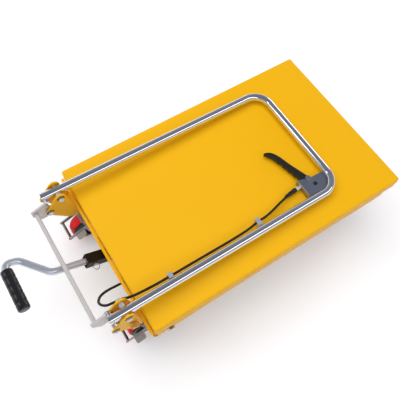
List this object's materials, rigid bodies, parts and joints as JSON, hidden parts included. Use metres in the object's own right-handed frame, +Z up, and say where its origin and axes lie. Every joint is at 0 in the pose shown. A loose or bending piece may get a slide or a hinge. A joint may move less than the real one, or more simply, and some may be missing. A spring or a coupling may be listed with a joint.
{
  "type": "mobile scissor lift table",
  "caption": "Low wheeled lift table with a flat tray deck on scissor legs, a foot pump pedal, braked swivel casters and a folding tubular push handle with a release lever.",
  "frame": {"origin": "on the floor, under the middle of the whole table from the pedal grip to the front edge of the deck", "axes": "+X from the pedal end to the front of the deck, +Y to the left, +Z up"},
  "size_m": [0.9136, 0.452, 0.2825],
  "materials": {
    "yellow": "satin yellow powder coat",
    "rail_paint": "satin yellow powder coat",
    "leg_paint": "satin black powder coat",
    "zinc": "zinc plated",
    "steel": "turned steel",
    "chrome": "polished chrome",
    "black_paint": "satin black",
    "black_plastic": "moulded matt",
    "cable": "smooth black sheath",
    "grip": "ribbed soft grip",
    "tread": "red polyurethane tread",
    "core": "moulded black",
    "spring": "yellow passivated spring steel",
    "grey_plate": "grey zinc"
  },
  "bodies": {
    "base": {"base_rail_left": "rail_paint", "base_rail_right": "rail_paint", "rear_base_plate": "rail_paint", "front_base_plate": "rail_paint", "base_pivot_pins": "steel", "caster_plates": "zinc", "front_fork_left": "zinc", "front_fork_right": "zinc", "caster_bolts": "zinc", "pump_block": "black_paint"},
    "outer_legs": {"outer_leg_left": "leg_paint", "outer_leg_right": "leg_paint", "outer_cross_tube": "leg_paint", "centre_pins": "steel"},
    "inner_legs": {"inner_leg_left": "leg_paint", "inner_leg_right": "leg_paint", "inner_cross_tube": "leg_paint", "lowering_valve": "steel", "cable_leg_run": "cable"},
    "deck_roller_pair": {"deck_rollers": "steel"},
    "base_roller_pair": {"base_rollers": "steel"},
    "barrel": {"cylinder_barrel": "black_paint"},
    "ram": {"cylinder_ram": "chrome"},
    "platform": {"deck": "yellow", "deck_tracks": "yellow", "deck_pivot_pins": "steel", "handle_beam": "yellow", "handle_bracket_left": "yellow", "handle_bracket_right": "yellow", "handle_pivot_bolts": "zinc", "cable_loop": "cable", "latch_spring": "spring"},
    "latch": {"latch_arms": "zinc", "latch_bar": "zinc", "latch_shafts": "zinc"},
    "handle": {"handle_tube": "chrome", "corner_plate": "grey_plate", "cable_clips": "zinc", "cable_adjuster": "zinc", "cable_boot": "grip", "lever_bolt": "zinc", "cable_handle_run": "cable"},
    "lever": {"release_lever": "black_plastic"},
    "pedal": {"pedal_socket": "black_paint", "pedal_rod": "chrome", "pedal_grip": "grip", "pull_pin": "zinc"},
    "plunger": {"pump_plunger": "steel"},
    "swivel_left": {"swivel_fork_left": "zinc"},
    "brake_left": {"brake_pedal_left": "zinc"},
    "rear_wheel_left": {"rear_tread_left": "tread", "rear_wheel_core_left": "core"},
    "front_wheel_left": {"front_tread_left": "tread", "front_wheel_core_left": "core"},
    "swivel_right": {"swivel_fork_right": "zinc"},
    "brake_right": {"brake_pedal_right": "zinc"},
    "rear_wheel_right": {"rear_tread_right": "tread", "rear_wheel_core_right": "core"},
    "front_wheel_right": {"front_tread_right": "tread", "front_wheel_core_right": "core"}
  },
  "joints": [
    {"name": "lift", "type": "hinge", "parent": "base", "child": "outer_legs", "pos_m": [-0.2032, 0, 0.15], "axis": [0, -1, 0], "range_deg": [0, 59.81], "deforming": ["cable_leg_run"]},
    {"name": "scissor", "type": "hinge", "parent": "outer_legs", "child": "inner_legs", "pos_m": [0.11059, 0, 0.1776], "axis": [0, -1, 0], "range_deg": [-125, 0]},
    {"name": "deck_level", "type": "hinge", "parent": "inner_legs", "child": "platform", "pos_m": [-0.2032, 0, 0.2052], "axis": [0, -1, 0], "range_deg": [0, 62]},
    {"name": "barrel_tilt", "type": "hinge", "parent": "inner_legs", "child": "barrel", "pos_m": [0.07572, -0.06, 0.18067], "axis": [0, -1, 0], "range_deg": [0, 124.65]},
    {"name": "ram_slide", "type": "slide", "parent": "barrel", "child": "ram", "axis": [-0.9932, 0, -0.1163], "range_m": [0, 0.06046]},
    {"name": "handle_fold", "type": "hinge", "parent": "platform", "child": "handle", "pos_m": [-0.2752, 0, 0.2605], "axis": [0, -1, 0], "range_deg": [0, 100], "deforming": ["cable_loop"]},
    {"name": "latch", "type": "hinge", "parent": "platform", "child": "latch", "pos_m": [-0.3092, 0, 0.225], "axis": [0, -1, 0], "range_deg": [0, 12], "stiffness_Nm_per_rad": 3, "springref_deg": -8.59, "deforming": ["latch_spring"]},
    {"name": "release_lever", "type": "hinge", "parent": "handle", "child": "lever", "pos_m": [0.24997, -0.109, 0.24193], "axis": [-0.0353, 0, -0.9994], "range_deg": [0, 20], "stiffness_Nm_per_rad": 1, "springref_deg": -11.46},
    {"name": "pedal", "type": "hinge", "parent": "base", "child": "pedal", "pos_m": [-0.1982, 0.0055, 0.1305], "axis": [0, -1, 0], "range_deg": [0, 25], "stiffness_Nm_per_rad": 8, "springref_deg": -20.05},
    {"name": "plunger_slide", "type": "slide", "parent": "base", "child": "plunger", "axis": [1, 0, 0], "range_m": [0, 0.0085]},
    {"name": "swivel_left", "type": "hinge", "parent": "base", "child": "swivel_left", "pos_m": [-0.2002, 0.154, 0.1], "axis": [0, 0, 1], "continuous": true},
    {"name": "brake_left", "type": "hinge", "parent": "swivel_left", "child": "brake_left", "pos_m": [-0.2302, 0.154, 0.092], "axis": [0, -1, 0], "range_deg": [0, 8]},
    {"name": "rear_wheel_left", "type": "hinge", "parent": "swivel_left", "child": "rear_wheel_left", "pos_m": [-0.2382, 0.154, 0.05], "axis": [0, 1, 0], "continuous": true},
    {"name": "front_wheel_left", "type": "hinge", "parent": "base", "child": "front_wheel_left", "pos_m": [0.3768, 0.154, 0.05], "axis": [0, 1, 0], "continuous": true},
    {"name": "swivel_right", "type": "hinge", "parent": "base", "child": "swivel_right", "pos_m": [-0.2002, -0.154, 0.1], "axis": [0, 0, 1], "continuous": true},
    {"name": "brake_right", "type": "hinge", "parent": "swivel_right", "child": "brake_right", "pos_m": [-0.2302, -0.154, 0.092], "axis": [0, -1, 0], "range_deg": [0, 8]},
    {"name": "rear_wheel_right", "type": "hinge", "parent": "swivel_right", "child": "rear_wheel_right", "pos_m": [-0.2382, -0.154, 0.05], "axis": [0, 1, 0], "continuous": true},
    {"name": "front_wheel_right", "type": "hinge", "parent": "base", "child": "front_wheel_right", "pos_m": [0.3768, -0.154, 0.05], "axis": [0, 1, 0], "continuous": true},
    {"name": "deck_roller_spin", "type": "hinge", "parent": "outer_legs", "child": "deck_roller_pair", "pos_m": [0.42438, 0, 0.2052], "axis": [0, 1, 0], "continuous": true},
    {"name": "base_roller_spin", "type": "hinge", "parent": "inner_legs", "child": "base_roller_pair", "pos_m": [0.42438, 0, 0.15], "axis": [0, 1, 0], "continuous": true}
  ],
  "couplings": [
    {"joint": "scissor", "follows": "lift", "ratio": -2},
    {"joint": "deck_level", "follows": "lift", "ratio": 1},
    {"joint": "barrel_tilt", "follows": "lift", "ratio": 2.0507},
    {"joint": "ram_slide", "follows": "lift", "m_per_rad": 0.056962},
    {"joint": "plunger_slide", "follows": "pedal", "m_per_rad": 0.018}
  ]
}
